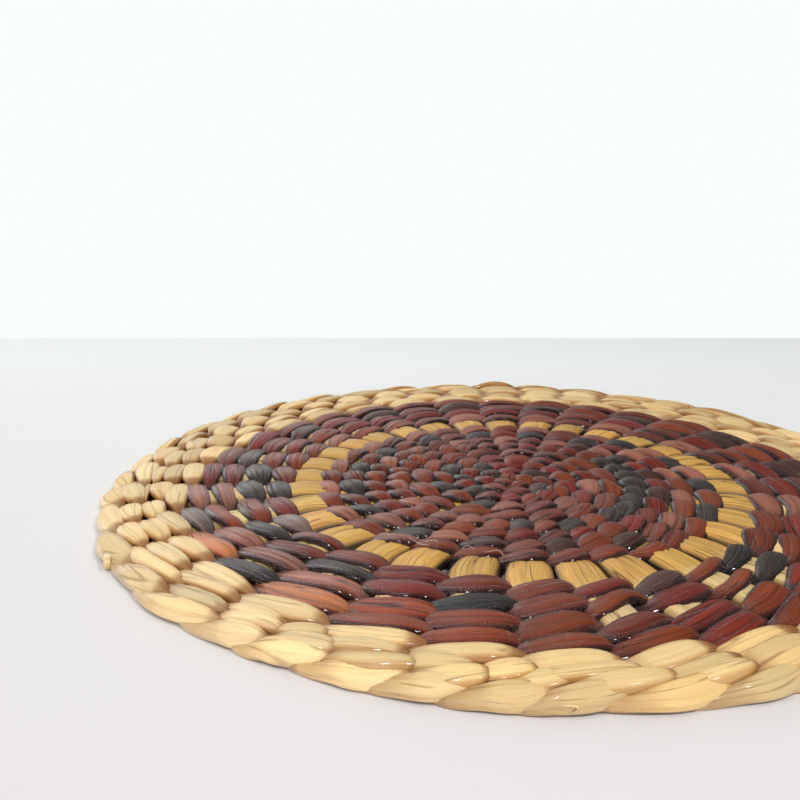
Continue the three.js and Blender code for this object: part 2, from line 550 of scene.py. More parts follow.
def reed_colour_and_shade(row, nearest, bright, edge, from_top, at_rim):
    """The colour of each point: its top's own colour, darkened towards the edges and at the ends of its tops
    as painted shade.
    """
    dye = row["dyes"][nearest] * bright[nearest][:, None]
    end = np.maximum(eased_step(*RIGHT_END, from_top), LEFT_END_SHARE * eased_step(*LEFT_END, from_top))
    for share, tone in (
        (eased_step(*NEAR_EDGE, edge) * (1 - at_rim), row["edge_shade"]),
        (eased_step(*UNDER_EDGE, edge) * (1 - at_rim), row["edge_deep_shade"]),
        (end * (1 - RIM_PALER * at_rim), row["end_shade"]),
    ):
        dye = dye * (1 - share[:, None] * tone)
    return dye


print("A reed's section has", STRANDS, "corners")

# %% [markdown]
# Now the reed is laid. Its points are set out square to its line, and bent down over the rim in the last row.
# The reed's attributes follow from the same measures: it is marked for painted shade where it lies low under
# the next reed and at the tips of straw tops, and lacquered along its edges and in its folds.

# %% Lay a twined reed
LEAST_HEIGHT = 0.02 * MM  # of any point over the table
FLAT_FACES = 0.26  # more points on the flat faces than on the edges
LOOK_AHEAD = 0.05  # crossings
RIM_BEND, RIM_BEND_POWER = 1.1, 1.7  # how far a curled reed's outer edge bends down, and how suddenly
BEND_INWARD = 0.4  # how far that edge is drawn in, for each mm it bends down
TUCKED_LOW, TUCKED_LESS_ON_TOP = 1.3, 1.55
TUCKED_TIP, TIP_STRENGTH = (0.24, 0.38), 2.0


def across_line(before, after):
    """Two unit directions square to a line: outwards in its plane, and upwards."""
    forward = after - before
    forward /= np.linalg.norm(forward, axis=1)[:, None]
    up = np.array([0.0, 0.0, 1.0]) - forward[:, 2:3] * forward
    up /= np.linalg.norm(up, axis=1)[:, None]
    return np.cross(forward, up), up


def lay_reed(piece, places, row, parity, straight=False):
    """One reed of a twined pair. The row holds its plan: see the rows below."""
    chance = chance_for("reed", row["name"], parity)
    position, side = places
    waves = hand_waves(chance, row)
    middle, width, thick, over, folding, rolled = reed_line(position, row, parity, waves)
    near = (reed_line(position + step, row, parity, waves)[0] for step in (-LOOK_AHEAD, LOOK_AHEAD))
    out, up = across_line(*near)
    roll = along(waves["roll"], position) - CURL_TILTS * rolled / MM
    cos_roll, sin_roll = np.cos(roll)[:, None], np.sin(roll)[:, None]
    out, up = out * cos_roll + up * sin_roll, up * cos_roll - out * sin_roll

    nearest = (np.round((position - parity) / 2) * 2 + parity).astype(int) % row["crossings"]
    fold = fold_pressing(chance, row, nearest, side, folding)
    side = side + FLAT_FACES * np.sin(2 * side)
    rim_row = min(1, row.get("curl", 0) / FULL_CURL)
    at_rim = rim_row * (np.cos(side) > 0)
    across, upward = pressed_section(row, side, fold, at_rim)
    tip = row["tip"](position) if "tip" in row else 1.0
    bend = RIM_BEND * rolled * ((across + 1) / 2) ** RIM_BEND_POWER
    out_by, up_by = across * width / 2 * tip - BEND_INWARD * bend, upward * thick / 2 * tip - bend
    corners = middle + out * out_by[:, None] + up * up_by[:, None]
    corners[:, 2] = np.maximum(corners[:, 2], LEAST_HEIGHT)

    edge = np.abs(np.cos(side))
    from_top = (position - parity + 1) % 2 - 1
    bright = chance.uniform(0.82, 1.18, row["crossings"])
    dye = reed_colour_and_shade(row, nearest, bright, edge, from_top, at_rim)
    # Painted shade: where the reed lies low under the next one, and at the tips of straw tops, its colour is
    # darkened in the finish; the rim row gets less.
    tucked = (TUCKED_LOW - TUCKED_LESS_ON_TOP * over).clip(0, 1) * (1 - RIM_PALER * rim_row)
    tucked = np.maximum(tucked, TIP_STRENGTH * row["leaf"] * eased_step(*TUCKED_TIP, from_top))
    lacquer = np.maximum(eased_step(*NEAR_EDGE, edge), folding**2)
    marks = {"folds": (fold * row["fold_tone"]).clip(0, 1), "tucked": tucked, "lacquer": lacquer}
    length_cm = row["pitch_cm"] * row["crossings"]
    finish_reed(piece, corners, length_cm, chance.uniform(0, 50, 2), dye, marks, straight)
    return piece


print("No point lies lower than", LEAST_HEIGHT / MM, "mm")

# %% [markdown]
# The spokes stand at nearly even angles. At the front and left they lean: the weaver's pull has
# drawn them to one side at the open ring and to the other side at the border, and the reeds ride a
# little past them. The field's rows cross at every spoke where there are 32 crossings, and at the
# middle of each bundle nearer the centre. Narrow reeds let the spoke show between the rows.

# %% Spoke angles
SPOKE_LEANS = np.array(
    [
        # spoke, its lean at the open ring, the lean of the reeds outside the ring, and its lean at the
        # border (degrees), and how far the rows inside the ring bulge out there (mm)
        (-12, 0.0, 0.0, 0.0, 0.0),
        (-8, -2.0, -2.0, -1.0, 1.0),
        (-6, -4.0, -3.8, -0.6, 1.5),
        (-5, -4.0, -3.4, 0.5, 2.0),
        (-4, -4.0, -3.7, -1.6, 2.0),
        (-3, -3.5, -4.3, -1.8, 2.0),
        (-2, -2.7, -2.3, 1.0, 1.5),
        (-1, -3.2, -0.6, 2.3, -3.0),
        (0, -1.4, 0.7, 2.8, -4.0),
        (1, -1.3, 2.1, 3.3, -3.5),
        (2, -1.0, 1.7, 2.5, -2.5),
        (3, -1.2, 1.6, 2.0, -1.5),
        (4, -0.7, 1.9, 2.2, 2.5),
        (5, -1.0, 1.5, 1.5, 1.5),
        (8, 0.0, 0.5, 0.5, 1.0),
        (12, 0.0, 0.0, 0.0, 0.0),
    ]
)
HALF_LEAN_RADIUS = 60 * MM  # a spoke starts to lean at half this radius and leans in full at one and a half
FAR_FROM, FAR_REACH = 92 * MM, 46 * MM  # where the lean of the ring turns into that of the border
REED_LEAN_REACH = 40 * MM  # over which the reeds' own lean does so
even_angles = FIRST_SPOKE + 2 * math.pi / SPOKES * np.arange(SPOKES)
even_angles = even_angles + chance_for("spokes").normal(0, math.radians(0.16), SPOKES)
spoke_numbers = (np.arange(SPOKES) + SPOKES / 2) % SPOKES - SPOKES / 2
ring_lean, reed_lean, border_lean, ring_bulge = (
    np.interp(spoke_numbers, SPOKE_LEANS[:, 0], column) for column in SPOKE_LEANS[:, 1:].T
)


def spoke_angle(number, radius):
    """The angle of a spoke at a distance from the field's middle."""
    near = np.clip(radius / HALF_LEAN_RADIUS - 0.5, 0, 1)
    far = np.clip((radius - FAR_FROM) / FAR_REACH, 0, 1)
    lean = ring_lean[number] * near * (1 - far) + (border_lean[number] - 1) * far
    return even_angles[number] + np.radians(lean)


def reed_angles(radius):
    """The angles at which the reeds of a row lie over the spokes."""
    if radius < BARE_TO:
        return even_angles + np.radians(ring_lean) * min(1, max(0, radius / HALF_LEAN_RADIUS - 0.5))
    far = min(1, (radius - BARE_TO) / REED_LEAN_REACH)
    return even_angles + np.radians(reed_lean * (1 - far) + border_lean * far)


print("The first spoke leans", [round(float(v), 1) for v in (ring_lean[0], border_lean[0])], "degrees")

# %% [markdown]
# The reeds of the field. Two reeds make a row, and both follow the same plan: one is over the even
# spokes and the other over the odd ones. In the four rows outside the ring each top has a width of
# its own, and around the front some are pulled in towards the middle.

# %% The field's rows
REED_WIDTHS = {
    # share of the full width, from spoke -7 on
    "outer_row_4": (0.96, 0.90, 1.02, 0.98, 0.90, 0.98, 0.88, 1.02, 0.98, 0.68, 1.05, 0.62, 0.80),
    "outer_row_3": (0.94, 0.96, 0.86, 0.88, 0.86, 0.98, 0.90, 1.04, 0.94, 0.62, 0.94, 0.62, 0.74),
    "outer_row_2": (0.88, 0.92, 0.94, 0.98, 0.90, 1.04, 1.12, 1.10, 1.00, 0.88, 0.88, 0.94, 0.88),
    "outer_row_1": (0.95, 0.92, 0.90, 1.00, 1.06, 1.05, 1.02, 1.00, 1.00, 0.94, 1.00, 1.00, 1.00),
}
REED_SWAYS = {
    # how far out a reed lies, or in where less than 0, from spoke -4 to 3 (mm)
    "outer_row_4": (0, -0.5, -1, 0, 0, 0, 0, 0),
    "outer_row_3": (0, -1.5, -3.5, 0, 0, -0.8, -3, -0.5),
    "outer_row_2": (-0.5, -3, -2.5, -1.5, 0, 0, 0.5, 0),
    "outer_row_1": (-0.5, -2, -1.5, -1, -0.5, 0, 0, 0),
    "border_row_1": (-0.7, -1.8, -1.5, -0.5, -0.5, 0, 0, 0),
}
FIRST_SWAYED = -4
LAST_INNER_RADIUS = 78.7  # of the last row inside the ring (mm), which bulges the most
DYED_REED = {
    "section": (0.88, 0.72),  # powers that round its edges and its faces
    "leaf": 0,  # how far the ends of a top are drawn to points
    "fill": 0,  # how much wider it is where it lies low
    "fold_rarity": 6.0,  # the higher, the fewer deep folds
    "fold_depth": 0.36,  # share of its thickness
    # How dark a fold is painted, and the colour lost towards the edges and at the ends of the tops, are all
    # painted shade.
    "fold_tone": 1.0,  # how dark a fold looks
    "edge_shade": np.array([0.26, 0.54, 0.58]),  # red, green and blue lost towards its edges, as shares
    "edge_deep_shade": np.array([0.85, 0.92, 0.92]),  # lost once more right at them
    "end_shade": np.zeros(3),  # and lost at the ends of its tops
}
print("Widths are listed for", len(REED_WIDTHS), "rows and sways for", len(REED_SWAYS))

# %% [markdown]
# Each row's plan says how many crossings it has and at which angles, how wide it is at each of them,
# how far out it is drawn, and its dyes. Both of the row's reeds are then laid from the one plan.


# %% Lay the field's rows
def sway_of(name):
    """How far out a row is drawn at each spoke."""
    sway = np.zeros(SPOKES)
    sway[:8] = REED_SWAYS.get(name, 0)
    return np.roll(sway, FIRST_SWAYED) * MM


def field_row(name, radius_mm, width_mm, crossings):
    """The plan of one row of the field."""
    chance = chance_for("widths", name)
    bundles = (crossings, SPOKES // crossings)
    angles = reed_angles(radius_mm * MM).reshape(bundles).mean(axis=1)
    bulge = ring_bulge.reshape(bundles).mean(axis=1) * MM * min(1, (radius_mm / LAST_INNER_RADIUS) ** 4)
    widths = np.ones(crossings)
    if name in REED_WIDTHS:
        widths = chance.uniform(0.82, 1.08, crossings)
        for count, share in enumerate(REED_WIDTHS[name]):
            widths[(FIRST_LISTED + count) % crossings] = share
    return {
        "name": name,
        "crossings": crossings,
        "angle": lambda at: along_angles(angles, at),
        "line": lambda angle: (np.full_like(angle, radius_mm * MM), np.full_like(angle, width_mm * MM)),
        "dyes": dyes_for(name, crossings),
        "widths": widths,
        "sway": bulge if radius_mm * MM < BARE_TO else sway_of(name),
        "pitch_cm": 2 * math.pi * radius_mm / 10 / crossings,
        **DYED_REED,
    }


dyed_reeds = []
for name, radius_mm, width_mm, crossings in FIELD_ROWS:
    row = field_row(name, radius_mm, width_mm, crossings)
    steps = OUTER_STEPS if name.startswith("outer") else min(INNER_STEPS, MOST_SEGMENTS // crossings)
    for parity in (0, 1):
        piece = copy_of(ring_blank(crossings, steps, STRANDS), f"{name}_{parity}")
        dyed_reeds.append(lay_reed(piece, ring_places(piece, crossings), row, parity))
print(len(dyed_reeds), "dyed reeds laid")

# %% [markdown]
# The border. Its first row still crosses at the spokes and keeps close to the field. The other rows share out
# the room that is left up to the rim: narrow and plump at the front, broad at the back. In the back half a
# short row is let in between them, as a maker does where one side runs ahead. These rows are worked past the
# spokes' ends, so their reeds swap at places of their own. The straw is undyed: more golden from the front
# round to the right, paler at the front left, partly as paler straw and partly as painted sheen, and painted
# browner as shade where a top's end is tucked in. The last row curls over the rim.

# %% Border rows
BORDER_ROWS = [
    # name, rows inside it, how far its outer edge curls down (mm)
    ("border_row_1", None, 0),
    ("border_row_2", 0.5, 0),
    ("border_row_3", 1.5, 0.8),
    ("border_row_4", 2.48, 3.4),
]
BORDER_CROSSINGS = 40
BORDER_GAPS = {
    # where the reeds swap, from the left round to the front right (degrees); the rest are even
    "border_row_2": (-89, -81, -73, -65, -54, -42, -34, -28, -18, -10.5, -4.5, 8, 18, 28.5),
    "border_row_3": (-89, -81, -73.5, -65, -50, -41, -33, -25.5, -16, -9, -0.5, 10.5, 19, 29.5),
    "border_row_4": (-94, -88, -82, -71.5, -60.5, -51, -40.5, -34, -25.5, -17, -10, -3, 5.5, 15.5, 25.5),
}
FIRST_BORDER_RADIUS = 142.4 * MM
FIRST_BORDER_WIDTH = 10.2 * MM
SHORT_ROW_FROM = math.radians(76)
SHORT_ROW_TO = math.radians(284)
SHORT_ROW_CROSSINGS = 25
SHORT_ROW_CUTS = (14, 19)  # 300 segments in all
SHORT_ROW_EASE = math.radians(32)  # over which it takes its room
INNER_SHARE = 0.34  # of the first row's width, to where the room for the others begins
OVERLAP = 1.18  # a reed's width in row pitches
NARROWEST_INNER, NARROWEST_OUTER, BROADEST = 7.4 * MM, 6.6 * MM, 12.4 * MM
BORDER_RADIUS_CM = 16
SHORT_ROW_PITCH_CM = 2.3
STRAW = (0.86, 0.625, 0.295)
GOLDEN_LOSS = (0.05, 0.07, 0.12)  # red, green and blue that the golden stretch lacks, as shares
PALE_STRAW_AND_SHEEN_GAIN = (0.05, 0.09, 0.22)  # and that the paler stretch at the front left has more of, partly paler straw and partly painted sheen
GOLDEN_START, GOLDEN_END = (-34, -4), (110, 60)  # degrees between which each eases in
PALE_MIDDLE, PALE_REACH = -40, 16  # degrees
STRAW_REED = {
    "section": (0.80, 0.64),
    "leaf": 0.36,
    "fill": 0.35,
    "fold_rarity": 9.0,
    "fold_depth": 0.24,
    # Painted shade for straw: a fold's darkness, the colour lost towards the edges and right at them, and the
    # brown at the ends of the tops.
    "fold_tone": 0.6,
    "edge_shade": np.array([0.02, 0.06, 0.14]),
    "edge_deep_shade": np.array([0.42, 0.60, 0.74]),
    "end_shade": np.array([0.46, 0.66, 0.80]),
}
print("The border has", len(BORDER_ROWS), "full rows of", BORDER_CROSSINGS, "crossings")

# %% [markdown]
# Three of the rows share the room between the first row and the waving rim, and the short row lets itself in
# between the first two of them at the back. The reeds' straw colour differs a little from crossing to
# crossing, more golden in one stretch and paler in another, partly as paler straw and partly as painted
# sheen.


# %% Lines and tints of the border rows
def short_row_share(angle):
    """How much room the short row takes: none at the front, a full row's at the back."""
    from_back = np.abs((np.asarray(angle) % (2 * np.pi)) - np.pi)
    return eased_step(0, SHORT_ROW_EASE, math.pi - SHORT_ROW_FROM - from_back)


def border_line(rows_inside, short=False):
    """The radius and reed width of a border row, as a function of the angle."""

    def line(angle):
        if rows_inside is None:
            return np.full_like(angle, FIRST_BORDER_RADIUS), np.full_like(angle, FIRST_BORDER_WIDTH)
        let_in = short_row_share(angle)
        inner = FIRST_BORDER_RADIUS + FIRST_BORDER_WIDTH * INNER_SHARE
        pitch = (rim_radius(angle) - inner) / (3 + let_in)
        place = 1 + let_in / 2 if short else rows_inside + (let_in if rows_inside > 1 else 0)
        narrowest = NARROWEST_INNER if rows_inside < 2 else NARROWEST_OUTER
        width = np.clip(pitch * OVERLAP, narrowest, BROADEST)
        return inner + place * pitch, width * (let_in if short else 1)

    return line


def straw_tints(name, angles):
    """A slightly different straw colour for each crossing, paler at the front left, partly as painted sheen.
    """
    chance = chance_for("straw", name)
    crossings = len(angles)
    warmth = chance.normal(0, 0.05, (crossings, 1)) * (0, 0.4, 1)
    degrees = (np.degrees(angles) + 180) % 360 - 180
    golden = (eased_step(*GOLDEN_START, degrees) * eased_step(*GOLDEN_END, degrees))[:, None]
    # The paler stretch at the front left is partly paler straw and partly painted sheen.
    pale = np.exp(-(((degrees - PALE_MIDDLE) / PALE_REACH) ** 2))[:, None]
    tints = np.array(STRAW) * (1 - golden * GOLDEN_LOSS) * (1 + pale * PALE_STRAW_AND_SHEEN_GAIN)
    return tints * chance.normal(1, 0.04, (crossings, 1)) * (1 + warmth)


def gap_angles(name):
    """The angles where the two reeds of a border row swap, once round."""
    listed = BORDER_GAPS[name]
    unlisted = BORDER_CROSSINGS - len(listed)
    rest = np.linspace(listed[-1], listed[0] + 360, unlisted + 2)[1:-1]
    rest = rest + chance_for("border", name).normal(0, 0.7, len(rest))
    return np.radians(np.append(listed, rest))


for name in BORDER_GAPS:
    print(name, "swaps its reeds at", len(gap_angles(name)), "places")

# %% [markdown]
# The border's rows are laid as the field's are, in pairs of rings. The short row has two ends, so its
# reeds are laid from a cylinder and run out to points.

# %% Lay the border
border_reeds = []
for name, rows_inside, curl in BORDER_ROWS:
    crossings, angles, half_step = SPOKES, reed_angles(FIRST_BORDER_RADIUS), 0
    if rows_inside is not None:
        crossings, angles, half_step = BORDER_CROSSINGS, gap_angles(name), 0.5
    row = {
        "name": name,
        "crossings": crossings,
        "angle": lambda at, angles=angles, step=half_step: along_angles(angles, at + step),
        "line": border_line(rows_inside),
        "dyes": straw_tints(name, along_angles(angles, np.arange(crossings) + half_step)),
        "sway": sway_of(name) if rows_inside is None else np.zeros(crossings),
        "curl": curl,
        "pitch_cm": 2 * math.pi * BORDER_RADIUS_CM / crossings,
        **STRAW_REED,
    }
    for parity in (0, 1):
        piece = copy_of(ring_blank(crossings, BORDER_STEPS, STRANDS), f"{name}_{parity}")
        border_reeds.append(lay_reed(piece, ring_places(piece, crossings), row, parity))

short_blank = straight_blank("short_row_blank", STRANDS, SHORT_ROW_CUTS)
short_angles = np.linspace(SHORT_ROW_FROM, SHORT_ROW_TO, SHORT_ROW_CROSSINGS)
short_row = {
    "name": "short_row",
    "crossings": SHORT_ROW_CROSSINGS,
    "angle": lambda at: SHORT_ROW_FROM + (SHORT_ROW_TO - SHORT_ROW_FROM) * at / SHORT_ROW_CROSSINGS,
    "line": border_line(1.5, short=True),
    "dyes": straw_tints("short_row", short_angles),
    "pitch_cm": SHORT_ROW_PITCH_CM,
    "tip": lambda at: 0.03 + 0.97 * np.sqrt(np.minimum(at, SHORT_ROW_CROSSINGS - at).clip(0, 1)),
    **STRAW_REED,
}
for parity in (0, 1):
    piece = copy_of(short_blank, f"short_end_row_{parity}")
    places = straight_places(piece, SHORT_ROW_CROSSINGS)
    border_reeds.append(lay_reed(piece, places, short_row, parity, straight=True))
print(len(border_reeds), "border reeds laid")

# %% [markdown]
# Where a reed was joined on, its cut end is folded back and shows at the rim as a small flat loop. A
# small torus is pressed flat and stood up against the rim.

# %% Folded ends at the rim
FOLDED_ENDS = [
    # angle (degrees), half width, half height, thickness, height of its middle (mm)
    (-65.0, 3.3, 2.0, 1.2, 2.8),
    (-3.0, 4.2, 1.2, 1.4, 2.6),
]
LOOP_CROSSINGS, LOOP_STEPS, LOOP_SIDES = 4, 5, 14
LOOP_LENGTH_CM = 1.6


def lay_folded_end(number, angle, half_width, half_height, thick, height):
    """A small flattened loop of reed that stands against the rim."""
    piece = copy_of(ring_blank(LOOP_CROSSINGS, LOOP_STEPS, LOOP_SIDES), f"folded_rim_{number}")
    turn, side = ring_places(piece, LOOP_CROSSINGS)
    turn = turn * 2 * math.pi / LOOP_CROSSINGS
    flat = thick * MM / 2 * np.cos(side)
    tangent = (half_width * MM + flat) * np.cos(turn)
    up = (half_height * MM + flat) * np.sin(turn) + 0.8 * MM * np.cos(turn) ** 2
    out = 1.1 * thick * MM * np.sin(side) + 0.5 * MM * np.cos(turn)
    x, y = place_at(rim_radius(angle) + 0.2 * MM + out, angle)
    up = np.maximum(height * MM + up, 0.1 * MM)
    corners = np.column_stack([x + tangent * np.cos(angle), y + tangent * np.sin(angle), up])
    # The inside of the loop is marked to be darkened as painted shade, and its outside to be lacquered.
    inside = eased_step(0.2, -0.6, np.cos(side))
    marks = {"folds": 0 * inside, "tucked": inside, "lacquer": 1 - inside}
    dye = np.array(STRAW) * np.ones((len(side), 1))
    finish_reed(piece, corners, LOOP_LENGTH_CM, (7.0, 3.0 + number), dye, marks)
    return piece


for number, (degrees, *sizes) in enumerate(FOLDED_ENDS):
    border_reeds.append(lay_folded_end(number, math.radians(degrees), *sizes))
print(len(FOLDED_ENDS), "folded ends laid")

# %% [markdown]
# A spoke is a bundle of dried reed, thin under the rows and swollen into a plump pad in the open ring, where
# nothing presses on it. It is laid from a cylinder. Fine creases run along it, and its pad spreads at the
# foot until it meets its neighbours. The pads' sides and lower halves are painted near black, as the shade in
# the gaps between them, and the edges of every spoke are painted darker as shade. Towards the middle the
# spokes close up in pairs.

# %% The shape and colour of a spoke
SPOKE_PROFILE = np.array(
    [
        # radius, width, thickness, height of its middle (mm)
        (1.5, 2.0, 2.0, 4.7),
        (16.0, 2.6, 2.4, 4.7),
        (30.0, 3.8, 2.8, 4.7),
        (45.0, 5.8, 2.8, 4.7),
        (60.0, 8.2, 3.0, 4.7),
        (73.0, 10.8, 3.2, 4.7),
        (78.0, 12.6, 4.4, 4.8),
        (82.0, 14.2, 6.0, 5.1),
        (87.0, 15.2, 6.8, 5.3),
        (92.0, 15.8, 6.6, 5.2),
        (97.0, 15.6, 5.6, 4.9),
        (102.0, 13.8, 4.4, 4.8),
        (107.0, 13.4, 4.8, 5.0),
        (119.0, 13.4, 4.8, 5.0),
        (129.0, 13.2, 4.4, 4.8),
        (142.0, 12.4, 3.4, 4.7),
        (148.0, 8.0, 2.4, 4.7),
    ]
)
SPOKE_GOLD = (0.74, 0.42, 0.105)
SPOKE_GAP_SHADE = (0.012, 0.006, 0.005)
SPOKE_EDGE_SHADE = 0.38 * np.array([0.7, 1.0, 1.2])  # red, green and blue lost at its edges, as shares
SPOKE_SECTION = (0.85, 0.75)
SPOKE_CREASES, CREASE_WIDTH, DEEPEST_CREASE = 9, 0.055, 0.30
SPOKE_WAVES, WAVES_ALONG = 12, 9  # chance values for a spoke, and how many of them its length takes up
STRAW_OVER = 6 * MM  # the stretch outside the ring over which gold turns into straw


def creased_section(chance, place, side):
    """Places across and up in a spoke's section, and how deep its creases are."""
    across, upward = rounded(side, *SPOKE_SECTION)
    centres = np.linspace(-0.8, 0.8, SPOKE_CREASES) + chance.uniform(-0.05, 0.05, (SPOKE_WAVES, 1))
    centres = centres + chance.uniform(-0.06, 0.06, (1, SPOKE_CREASES))
    depths = chance.uniform(0, 1, (1, SPOKE_CREASES)) ** 1.5 * DEEPEST_CREASE * np.ones((SPOKE_WAVES, 1))
    crease = crease_depth(across, place * WAVES_ALONG, centres, depths, CREASE_WIDTH)
    return across, upward * (1 - crease), crease


def spoke_tint(chance, radius, across, upward, plump):
    """Gold in the open ring and straw outside it, with painted shade towards the edges and painted near-black
    shade on the pads' sides and lower halves.
    """
    outside = ((radius - BARE_TO) / STRAW_OVER).clip(0, 1)[:, None]
    tint = np.array(SPOKE_GOLD) * (1 - outside) + np.array(STRAW) * outside
    tint = tint * chance.normal(1, 0.07) * chance.normal(1, 0.025, 3)
    # Painted shade towards the spoke's edges.
    tint = tint * (1 - SPOKE_EDGE_SHADE * np.abs(across)[:, None] ** 5)
    # Painted shade: in the open ring the pads' sides and lower halves, where the gaps between them lie in
    # shadow, are darkened to near black.
    gap_shade = np.maximum(eased_step(0.90, 0.99, np.abs(across)), eased_step(0.5, 0.1, upward))
    gap_shade = (1 - outside) * (plump * gap_shade)[:, None]
    return tint * (1 - gap_shade) + np.array(SPOKE_GAP_SHADE) * gap_shade


print("A spoke reaches out to", SPOKE_PROFILE[-1, 0], "mm")

# %% [markdown]
# Each spoke's line runs straight out from the field's middle, but for its lean. Its width, thickness
# and height come from the profile above, and its foot is as wide as its share of the circle.

# %% Lay the spokes
SPOKE_SIDES = 26
SPOKE_CUTS = (56,)
SPOKE_FLAT_FACES = 0.28
PAD_RISE, PAD_FALL = (76 * MM, 82 * MM), (99 * MM, 104 * MM)
FOOT_OVERLAP = 1.01
PAIRS_CLOSE_FROM, PAIRS_CLOSE_OVER, PAIRS_CLOSE_BY = 46 * MM, 12 * MM, 0.22
spoke_blank = straight_blank("spoke_blank", SPOKE_SIDES, SPOKE_CUTS)


def lay_spoke(number):
    """One spoke, from the hub to where it ends inside the border."""
    chance = chance_for("spoke", number)
    piece = copy_of(spoke_blank, f"spoke_end_{number}")
    place, side = straight_places(piece, 1)
    start, end = SPOKE_PROFILE[0, 0] * MM, SPOKE_PROFILE[-1, 0] * MM
    radius = start + place * (end - start)
    width, thick, height = (
        np.interp(radius / MM, SPOKE_PROFILE[:, 0], column) * MM for column in SPOKE_PROFILE[:, 1:].T
    )
    width = width * chance.normal(1, 0.03)
    side = side + SPOKE_FLAT_FACES * np.sin(2 * side)
    across, upward, crease = creased_section(chance, place, side)
    angle, partner = spoke_angle(number, radius), spoke_angle(number ^ 1, radius)
    closing = PAIRS_CLOSE_BY * np.clip((PAIRS_CLOSE_FROM - radius) / PAIRS_CLOSE_OVER, 0, 1)
    angle = angle + closing * (partner - angle)
    foot = 2 * math.pi * radius / SPOKES * FOOT_OVERLAP - width
    plump = eased_step(*PAD_RISE, radius) * (1 - eased_step(*PAD_FALL, radius))
    width = width + plump * foot.clip(0) * np.clip((0.45 - upward) / 0.4, 0, 1)
    sway = along(chance.normal(0, 0.4 * MM, SPOKE_WAVES), place * WAVES_ALONG)
    side_step = across * width / 2 + sway
    middle_x, middle_y = place_at(radius, angle)
    x, y = middle_x + np.cos(angle) * side_step, middle_y + np.sin(angle) * side_step
    corners = np.column_stack([x, y, height + upward * thick / 2])
    tint = spoke_tint(chance, radius, across, upward, plump)
    # The folds mark darkens the spoke's creases in the finish, as painted shade.
    folds, lacquer = np.clip(crease * 4, 0, 1), np.abs(across) ** 6
    marks = {"folds": folds, "tucked": np.zeros(len(across)), "lacquer": lacquer}
    length_cm = (end - start) * 100
    finish_reed(piece, corners, length_cm, chance.uniform(0, 50, 2), tint, marks, straight=True)
    return piece


spokes = [lay_spoke(number) for number in range(SPOKES)]
print(len(spokes), "spokes laid")

# %% [markdown]
# The reeds are joined into a few pieces, so that each has one finish and a sensible size: the rows
# inside the ring, then two rows, which are four reeds, at a time. The blanks are then put away.


# %% Join the reeds
def join(pieces, name):
    """Joins pieces into one mesh."""
    bpy.ops.object.select_all(action="DESELECT")
    for piece in pieces:
        piece.select_set(True)
    bpy.context.view_layer.objects.active = pieces[0]
    bpy.ops.object.join()
    joined = bpy.context.object
    joined.name = joined.data.name = name
    triangles = sum(len(face.vertices) - 2 for face in joined.data.polygons)
    print(name, "has", triangles, "triangles")
    return joined


inner_rows = join(dyed_reeds[:-8], "dyed_inner_rows")
middle_rows = join(dyed_reeds[-8:-4], "dyed_middle_rows")
outer_rows = join(dyed_reeds[-4:], "dyed_outer_rows")
inner_border = join(border_reeds[:4], "inner_border_rows")
outer_border = join(border_reeds[4:], "outer_border_rows")
spoke_wheel = join(spokes, "spoke_wheel")
for blank in [*ring_blanks.values(), short_blank, spoke_blank]:
    bpy.data.objects.remove(blank)

# %% [markdown]
# Finishes. Each finish is a material of its own, built from small steps. These helpers add a node,
# link or set its inputs in one go, and give back what it puts out, to keep the recipes short.


# %% Node helpers
def add_node(tree, kind, inputs=None, **settings):
    """Adds a node, sets its properties, and links or sets its inputs by name or number."""
    node = tree.nodes.new(kind)
    for key, value in settings.items():
        setattr(node, key, value)
    for key, value in (inputs or {}).items():
        if isinstance(value, bpy.types.NodeSocket):
            tree.links.new(value, node.inputs[key])
        else:
            node.inputs[key].default_value = value
    return node


def ramp(tree, value, from_min, from_max, to_min, to_max):
    """A value carried from one range to another, held at the ends."""
    ranges = {"From Min": from_min, "From Max": from_max, "To Min": to_min, "To Max": to_max}
    return add_node(tree, "ShaderNodeMapRange", {"Value": value, **ranges}).outputs[0]


def maths(tree, operation, *values):
    """One Math node."""
    return add_node(tree, "ShaderNodeMath", dict(enumerate(values)), operation=operation).outputs[0]


def mixed(tree, share, first, second):
    """A Mix node for two colours."""
    return add_node(tree, "ShaderNodeMix", {0: share, 6: first, 7: second}, data_type="RGBA").outputs[2]


def new_group(name, inputs, outputs):
    """An empty shader node group with named sockets, and its input and output nodes."""
    group = bpy.data.node_groups.new(name, "ShaderNodeTree")
    for socket, value in inputs.items():
        kind = "NodeSocketColor" if isinstance(value, tuple) else "NodeSocketFloat"
        made = group.interface.new_socket(socket, in_out="INPUT", socket_type=kind)
        made.default_value = value
    for socket, kind in outputs.items():
        group.interface.new_socket(socket, in_out="OUTPUT", socket_type=kind)
    return group, group.nodes.new("NodeGroupInput"), group.nodes.new("NodeGroupOutput")


print("Node helpers ready")

# %% [markdown]
# Fibre is what makes a reed look like a reed: fine lines along it, a few broad streaks, and thin
# creases where the dry skin has folded. Noise that is stretched along the reed's own UV map gives all
# three. The map is in centimetres: along the reed first and across it second. A crease is where one
# such noise passes its middle value, and a second noise breaks the lines off. A last, finer noise
# gives the ripples of the skin.

# %% Fibre group
fibre_group, group_in, group_out = new_group(
    "reed_fibre",
    {"Fibres per cm": 26.0, "Creases per cm": 4.0},
    {name: "NodeSocketFloat" for name in ("Fibre", "Streak", "Crease", "Ripple")},
)
uv_node = add_node(fibre_group, "ShaderNodeUVMap", uv_map="reed")
uv_parts = add_node(fibre_group, "ShaderNodeSeparateXYZ", {0: uv_node.outputs[0]})


